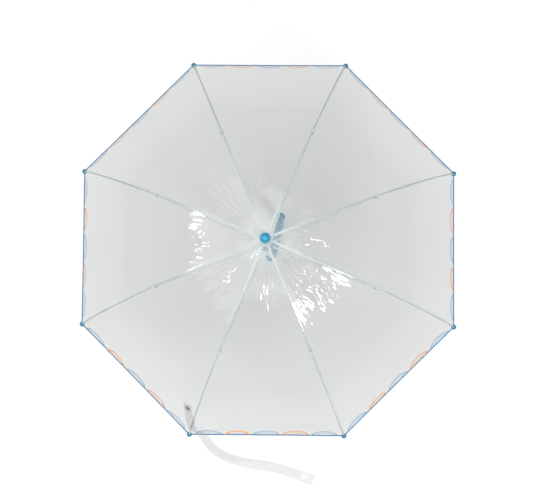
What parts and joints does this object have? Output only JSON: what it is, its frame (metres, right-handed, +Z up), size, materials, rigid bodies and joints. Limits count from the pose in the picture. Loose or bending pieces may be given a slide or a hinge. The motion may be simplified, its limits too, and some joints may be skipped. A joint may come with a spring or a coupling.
{
  "type": "children's umbrella",
  "caption": "Open dome umbrella with a clear film canopy, ball-tipped ribs, a sliding runner with stretchers, a ball ferrule and a crook handle.",
  "frame": {"origin": "middle of the straight grip of the handle, on the shaft's axis", "axes": "+Z up the shaft to the ferrule, +X along the first rib, with the crook turned 9 degrees from it"},
  "size_m": [0.7657, 0.7496, 0.636],
  "materials": {
    "shaft_steel": "plated, satin",
    "blue_plastic": "moulded, glossy",
    "tip_plastic": "moulded, glossy",
    "handle_plastic": "moulded, glossy",
    "clear_plastic": "clear moulded plastic",
    "white_plastic": "moulded",
    "wire": "drawn wire",
    "snap_metal": "nickel press stud",
    "fibreglass": "pale translucent fibreglass",
    "film": "clear soft film"
  },
  "bodies": {
    "frame": {"shaft": "shaft_steel", "ferrule_ball": "blue_plastic", "crown_washer": "clear_plastic", "crown_notch": "white_plastic", "crown_wire": "wire", "handle": "handle_plastic"},
    "runner": {"runner": "blue_plastic"},
    "top_catch": {"top_catch": "wire"},
    "bottom_catch": {"bottom_catch": "wire"},
    "rib_inner_1": {"rib_inner_1": "fibreglass"},
    "rib_outer_1": {"rib_outer_1": "fibreglass", "rib_tip_1": "tip_plastic"},
    "stretcher_1": {"stretcher_1": "fibreglass"},
    "panel_inner_1": {"panel_inner_1": "film"},
    "panel_outer_1": {"panel_outer_1": "film"},
    "rib_inner_2": {"rib_inner_2": "fibreglass"},
    "rib_outer_2": {"rib_outer_2": "fibreglass", "rib_tip_2": "tip_plastic"},
    "stretcher_2": {"stretcher_2": "fibreglass"},
    "panel_inner_2": {"panel_inner_2": "film"},
    "panel_outer_2": {"panel_outer_2": "film"},
    "rib_inner_3": {"rib_inner_3": "fibreglass"},
    "rib_outer_3": {"rib_outer_3": "fibreglass", "rib_tip_3": "tip_plastic"},
    "stretcher_3": {"stretcher_3": "fibreglass"},
    "panel_inner_3": {"panel_inner_3": "film"},
    "panel_outer_3": {"panel_outer_3": "film"},
    "rib_inner_4": {"rib_inner_4": "fibreglass"},
    "rib_outer_4": {"rib_outer_4": "fibreglass", "rib_tip_4": "tip_plastic"},
    "stretcher_4": {"stretcher_4": "fibreglass"},
    "panel_inner_4": {"panel_inner_4": "film"},
    "panel_outer_4": {"panel_outer_4": "film"},
    "rib_inner_5": {"rib_inner_5": "fibreglass"},
    "rib_outer_5": {"rib_outer_5": "fibreglass", "rib_tip_5": "tip_plastic", "tie_strap": "film", "strap_snap": "snap_metal"},
    "stretcher_5": {"stretcher_5": "fibreglass"},
    "panel_inner_5": {"panel_inner_5": "film"},
    "panel_outer_5": {"panel_outer_5": "film"},
    "rib_inner_6": {"rib_inner_6": "fibreglass"},
    "rib_outer_6": {"rib_outer_6": "fibreglass", "rib_tip_6": "tip_plastic"},
    "stretcher_6": {"stretcher_6": "fibreglass"},
    "panel_inner_6": {"panel_inner_6": "film"},
    "panel_outer_6": {"panel_outer_6": "film"},
    "rib_inner_7": {"rib_inner_7": "fibreglass"},
    "rib_outer_7": {"rib_outer_7": "fibreglass", "rib_tip_7": "tip_plastic"},
    "stretcher_7": {"stretcher_7": "fibreglass"},
    "panel_inner_7": {"panel_inner_7": "film"},
    "panel_outer_7": {"panel_outer_7": "film"},
    "rib_inner_8": {"rib_inner_8": "fibreglass"},
    "rib_outer_8": {"rib_outer_8": "fibreglass", "rib_tip_8": "tip_plastic"},
    "stretcher_8": {"stretcher_8": "fibreglass"},
    "panel_inner_8": {"panel_inner_8": "film"},
    "panel_outer_8": {"panel_outer_8": "film"}
  },
  "joints": [
    {"name": "runner_slide", "type": "slide", "parent": "frame", "child": "runner", "axis": [0, 0, 1], "range_m": [-0.27288, 0], "deforming": ["panel_inner_1", "panel_inner_2", "panel_inner_3", "panel_inner_4", "panel_inner_5", "panel_inner_6", "panel_inner_7", "panel_inner_8", "panel_outer_1", "panel_outer_2", "panel_outer_3", "panel_outer_4", "panel_outer_5", "panel_outer_6", "panel_outer_7", "panel_outer_8", "tie_strap"]},
    {"name": "top_catch_press", "type": "slide", "parent": "frame", "child": "top_catch", "axis": [-0.9239, -0.3827, 0], "range_m": [0, 0.0024], "stiffness_N_per_m": 300},
    {"name": "bottom_catch_press", "type": "slide", "parent": "frame", "child": "bottom_catch", "axis": [-0.9239, -0.3827, 0], "range_m": [0, 0.0024], "stiffness_N_per_m": 300},
    {"name": "rib_1_pivot", "type": "hinge", "parent": "frame", "child": "rib_inner_1", "pos_m": [0.009, 0, 0.53], "axis": [0, -1, 0], "range_deg": [-71.8, 0]},
    {"name": "rib_1_flex", "type": "hinge", "parent": "rib_inner_1", "child": "rib_outer_1", "pos_m": [0.21, 0, 0.46966], "axis": [0, -1, 0], "range_deg": [0, 34.98]},
    {"name": "stretcher_1_pivot", "type": "hinge", "parent": "rib_inner_1", "child": "stretcher_1", "pos_m": [0.20258, 0, 0.46723], "axis": [0, -1, 0], "range_deg": [0, 140.75]},
    {"name": "panel_1_crown_fold", "type": "hinge", "parent": "frame", "child": "panel_inner_1", "pos_m": [0.01169, 0.00484, 0.53267], "axis": [0.3827, -0.9239, 0], "range_deg": [-68.27, 0]},
    {"name": "panel_1_crease", "type": "hinge", "parent": "panel_inner_1", "child": "panel_outer_1", "pos_m": [0.18052, 0.07477, 0.47203], "axis": [0.3827, -0.9239, 0], "range_deg": [0, 32.52]},
    {"name": "rib_2_pivot", "type": "hinge", "parent": "frame", "child": "rib_inner_2", "pos_m": [0.00636, 0.00636, 0.53], "axis": [0.7071, -0.7071, 0], "range_deg": [-71.8, 0]},
    {"name": "rib_2_flex", "type": "hinge", "parent": "rib_inner_2", "child": "rib_outer_2", "pos_m": [0.14849, 0.14849, 0.46966], "axis": [0.7071, -0.7071, 0], "range_deg": [0, 34.98]},
    {"name": "stretcher_2_pivot", "type": "hinge", "parent": "rib_inner_2", "child": "stretcher_2", "pos_m": [0.14324, 0.14324, 0.46723], "axis": [0.7071, -0.7071, 0], "range_deg": [0, 140.75]},
    {"name": "panel_2_crown_fold", "type": "hinge", "parent": "frame", "child": "panel_inner_2", "pos_m": [0.00484, 0.01169, 0.53267], "axis": [0.9239, -0.3827, 0], "range_deg": [-68.27, 0]},
    {"name": "panel_2_crease", "type": "hinge", "parent": "panel_inner_2", "child": "panel_outer_2", "pos_m": [0.07477, 0.18052, 0.47203], "axis": [0.9239, -0.3827, 0], "range_deg": [0, 32.52]},
    {"name": "rib_3_pivot", "type": "hinge", "parent": "frame", "child": "rib_inner_3", "pos_m": [0, 0.009, 0.53], "axis": [1, 0, 0], "range_deg": [-71.8, 0]},
    {"name": "rib_3_flex", "type": "hinge", "parent": "rib_inner_3", "child": "rib_outer_3", "pos_m": [0, 0.21, 0.46966], "axis": [1, 0, 0], "range_deg": [0, 34.98]},
    {"name": "stretcher_3_pivot", "type": "hinge", "parent": "rib_inner_3", "child": "stretcher_3", "pos_m": [0, 0.20258, 0.46723], "axis": [1, 0, 0], "range_deg": [0, 140.75]},
    {"name": "panel_3_crown_fold", "type": "hinge", "parent": "frame", "child": "panel_inner_3", "pos_m": [-0.00484, 0.01169, 0.53267], "axis": [0.9239, 0.3827, 0], "range_deg": [-68.27, 0]},
    {"name": "panel_3_crease", "type": "hinge", "parent": "panel_inner_3", "child": "panel_outer_3", "pos_m": [-0.07477, 0.18052, 0.47203], "axis": [0.9239, 0.3827, 0], "range_deg": [0, 32.52]},
    {"name": "rib_4_pivot", "type": "hinge", "parent": "frame", "child": "rib_inner_4", "pos_m": [-0.00636, 0.00636, 0.53], "axis": [0.7071, 0.7071, 0], "range_deg": [-71.8, 0]},
    {"name": "rib_4_flex", "type": "hinge", "parent": "rib_inner_4", "child": "rib_outer_4", "pos_m": [-0.14849, 0.14849, 0.46966], "axis": [0.7071, 0.7071, 0], "range_deg": [0, 34.98]},
    {"name": "stretcher_4_pivot", "type": "hinge", "parent": "rib_inner_4", "child": "stretcher_4", "pos_m": [-0.14324, 0.14324, 0.46723], "axis": [0.7071, 0.7071, 0], "range_deg": [0, 140.75]},
    {"name": "panel_4_crown_fold", "type": "hinge", "parent": "frame", "child": "panel_inner_4", "pos_m": [-0.01169, 0.00484, 0.53267], "axis": [0.3827, 0.9239, 0], "range_deg": [-68.27, 0]},
    {"name": "panel_4_crease", "type": "hinge", "parent": "panel_inner_4", "child": "panel_outer_4", "pos_m": [-0.18052, 0.07477, 0.47203], "axis": [0.3827, 0.9239, 0], "range_deg": [0, 32.52]},
    {"name": "rib_5_pivot", "type": "hinge", "parent": "frame", "child": "rib_inner_5", "pos_m": [-0.009, 0, 0.53], "axis": [0, 1, 0], "range_deg": [-71.8, 0]},
    {"name": "rib_5_flex", "type": "hinge", "parent": "rib_inner_5", "child": "rib_outer_5", "pos_m": [-0.21, 0, 0.46966], "axis": [0, 1, 0], "range_deg": [0, 34.98]},
    {"name": "stretcher_5_pivot", "type": "hinge", "parent": "rib_inner_5", "child": "stretcher_5", "pos_m": [-0.20258, 0, 0.46723], "axis": [0, 1, 0], "range_deg": [0, 140.75]},
    {"name": "panel_5_crown_fold", "type": "hinge", "parent": "frame", "child": "panel_inner_5", "pos_m": [-0.01169, -0.00484, 0.53267], "axis": [-0.3827, 0.9239, 0], "range_deg": [-68.27, 0]},
    {"name": "panel_5_crease", "type": "hinge", "parent": "panel_inner_5", "child": "panel_outer_5", "pos_m": [-0.18052, -0.07477, 0.47203], "axis": [-0.3827, 0.9239, 0], "range_deg": [0, 32.52]},
    {"name": "rib_6_pivot", "type": "hinge", "parent": "frame", "child": "rib_inner_6", "pos_m": [-0.00636, -0.00636, 0.53], "axis": [-0.7071, 0.7071, 0], "range_deg": [-71.8, 0]},
    {"name": "rib_6_flex", "type": "hinge", "parent": "rib_inner_6", "child": "rib_outer_6", "pos_m": [-0.14849, -0.14849, 0.46966], "axis": [-0.7071, 0.7071, 0], "range_deg": [0, 34.98]},
    {"name": "stretcher_6_pivot", "type": "hinge", "parent": "rib_inner_6", "child": "stretcher_6", "pos_m": [-0.14324, -0.14324, 0.46723], "axis": [-0.7071, 0.7071, 0], "range_deg": [0, 140.75]},
    {"name": "panel_6_crown_fold", "type": "hinge", "parent": "frame", "child": "panel_inner_6", "pos_m": [-0.00484, -0.01169, 0.53267], "axis": [-0.9239, 0.3827, 0], "range_deg": [-68.27, 0]},
    {"name": "panel_6_crease", "type": "hinge", "parent": "panel_inner_6", "child": "panel_outer_6", "pos_m": [-0.07477, -0.18052, 0.47203], "axis": [-0.9239, 0.3827, 0], "range_deg": [0, 32.52]},
    {"name": "rib_7_pivot", "type": "hinge", "parent": "frame", "child": "rib_inner_7", "pos_m": [0, -0.009, 0.53], "axis": [-1, 0, 0], "range_deg": [-71.8, 0]},
    {"name": "rib_7_flex", "type": "hinge", "parent": "rib_inner_7", "child": "rib_outer_7", "pos_m": [0, -0.21, 0.46966], "axis": [-1, 0, 0], "range_deg": [0, 34.98]},
    {"name": "stretcher_7_pivot", "type": "hinge", "parent": "rib_inner_7", "child": "stretcher_7", "pos_m": [0, -0.20258, 0.46723], "axis": [-1, 0, 0], "range_deg": [0, 140.75]},
    {"name": "panel_7_crown_fold", "type": "hinge", "parent": "frame", "child": "panel_inner_7", "pos_m": [0.00484, -0.01169, 0.53267], "axis": [-0.9239, -0.3827, 0], "range_deg": [-68.27, 0]},
    {"name": "panel_7_crease", "type": "hinge", "parent": "panel_inner_7", "child": "panel_outer_7", "pos_m": [0.07477, -0.18052, 0.47203], "axis": [-0.9239, -0.3827, 0], "range_deg": [0, 32.52]},
    {"name": "rib_8_pivot", "type": "hinge", "parent": "frame", "child": "rib_inner_8", "pos_m": [0.00636, -0.00636, 0.53], "axis": [-0.7071, -0.7071, 0], "range_deg": [-71.8, 0]},
    {"name": "rib_8_flex", "type": "hinge", "parent": "rib_inner_8", "child": "rib_outer_8", "pos_m": [0.14849, -0.14849, 0.46966], "axis": [-0.7071, -0.7071, 0], "range_deg": [0, 34.98]},
    {"name": "stretcher_8_pivot", "type": "hinge", "parent": "rib_inner_8", "child": "stretcher_8", "pos_m": [0.14324, -0.14324, 0.46723], "axis": [-0.7071, -0.7071, 0], "range_deg": [0, 140.75]},
    {"name": "panel_8_crown_fold", "type": "hinge", "parent": "frame", "child": "panel_inner_8", "pos_m": [0.01169, -0.00484, 0.53267], "axis": [-0.3827, -0.9239, 0], "range_deg": [-68.27, 0]},
    {"name": "panel_8_crease", "type": "hinge", "parent": "panel_inner_8", "child": "panel_outer_8", "pos_m": [0.18052, -0.07477, 0.47203], "axis": [-0.3827, -0.9239, 0], "range_deg": [0, 32.52]}
  ],
  "couplings": [
    {"joint": "rib_1_pivot", "follows": "runner_slide", "rad_per_m": 4.5915},
    {"joint": "rib_1_flex", "follows": "runner_slide", "rad_per_m": -2.2368},
    {"joint": "stretcher_1_pivot", "follows": "runner_slide", "rad_per_m": -9.0018},
    {"joint": "panel_1_crown_fold", "follows": "runner_slide", "rad_per_m": 4.3661},
    {"joint": "panel_1_crease", "follows": "runner_slide", "rad_per_m": -2.0791},
    {"joint": "rib_2_pivot", "follows": "runner_slide", "rad_per_m": 4.5915},
    {"joint": "rib_2_flex", "follows": "runner_slide", "rad_per_m": -2.2368},
    {"joint": "stretcher_2_pivot", "follows": "runner_slide", "rad_per_m": -9.0018},
    {"joint": "panel_2_crown_fold", "follows": "runner_slide", "rad_per_m": 4.3661},
    {"joint": "panel_2_crease", "follows": "runner_slide", "rad_per_m": -2.0791},
    {"joint": "rib_3_pivot", "follows": "runner_slide", "rad_per_m": 4.5915},
    {"joint": "rib_3_flex", "follows": "runner_slide", "rad_per_m": -2.2368},
    {"joint": "stretcher_3_pivot", "follows": "runner_slide", "rad_per_m": -9.0018},
    {"joint": "panel_3_crown_fold", "follows": "runner_slide", "rad_per_m": 4.3661},
    {"joint": "panel_3_crease", "follows": "runner_slide", "rad_per_m": -2.0791},
    {"joint": "rib_4_pivot", "follows": "runner_slide", "rad_per_m": 4.5915},
    {"joint": "rib_4_flex", "follows": "runner_slide", "rad_per_m": -2.2368},
    {"joint": "stretcher_4_pivot", "follows": "runner_slide", "rad_per_m": -9.0018},
    {"joint": "panel_4_crown_fold", "follows": "runner_slide", "rad_per_m": 4.3661},
    {"joint": "panel_4_crease", "follows": "runner_slide", "rad_per_m": -2.0791},
    {"joint": "rib_5_pivot", "follows": "runner_slide", "rad_per_m": 4.5915},
    {"joint": "rib_5_flex", "follows": "runner_slide", "rad_per_m": -2.2368},
    {"joint": "stretcher_5_pivot", "follows": "runner_slide", "rad_per_m": -9.0018},
    {"joint": "panel_5_crown_fold", "follows": "runner_slide", "rad_per_m": 4.3661},
    {"joint": "panel_5_crease", "follows": "runner_slide", "rad_per_m": -2.0791},
    {"joint": "rib_6_pivot", "follows": "runner_slide", "rad_per_m": 4.5915},
    {"joint": "rib_6_flex", "follows": "runner_slide", "rad_per_m": -2.2368},
    {"joint": "stretcher_6_pivot", "follows": "runner_slide", "rad_per_m": -9.0018},
    {"joint": "panel_6_crown_fold", "follows": "runner_slide", "rad_per_m": 4.3661},
    {"joint": "panel_6_crease", "follows": "runner_slide", "rad_per_m": -2.0791},
    {"joint": "rib_7_pivot", "follows": "runner_slide", "rad_per_m": 4.5915},
    {"joint": "rib_7_flex", "follows": "runner_slide", "rad_per_m": -2.2368},
    {"joint": "stretcher_7_pivot", "follows": "runner_slide", "rad_per_m": -9.0018},
    {"joint": "panel_7_crown_fold", "follows": "runner_slide", "rad_per_m": 4.3661},
    {"joint": "panel_7_crease", "follows": "runner_slide", "rad_per_m": -2.0791},
    {"joint": "rib_8_pivot", "follows": "runner_slide", "rad_per_m": 4.5915},
    {"joint": "rib_8_flex", "follows": "runner_slide", "rad_per_m": -2.2368},
    {"joint": "stretcher_8_pivot", "follows": "runner_slide", "rad_per_m": -9.0018},
    {"joint": "panel_8_crown_fold", "follows": "runner_slide", "rad_per_m": 4.3661},
    {"joint": "panel_8_crease", "follows": "runner_slide", "rad_per_m": -2.0791}
  ]
}
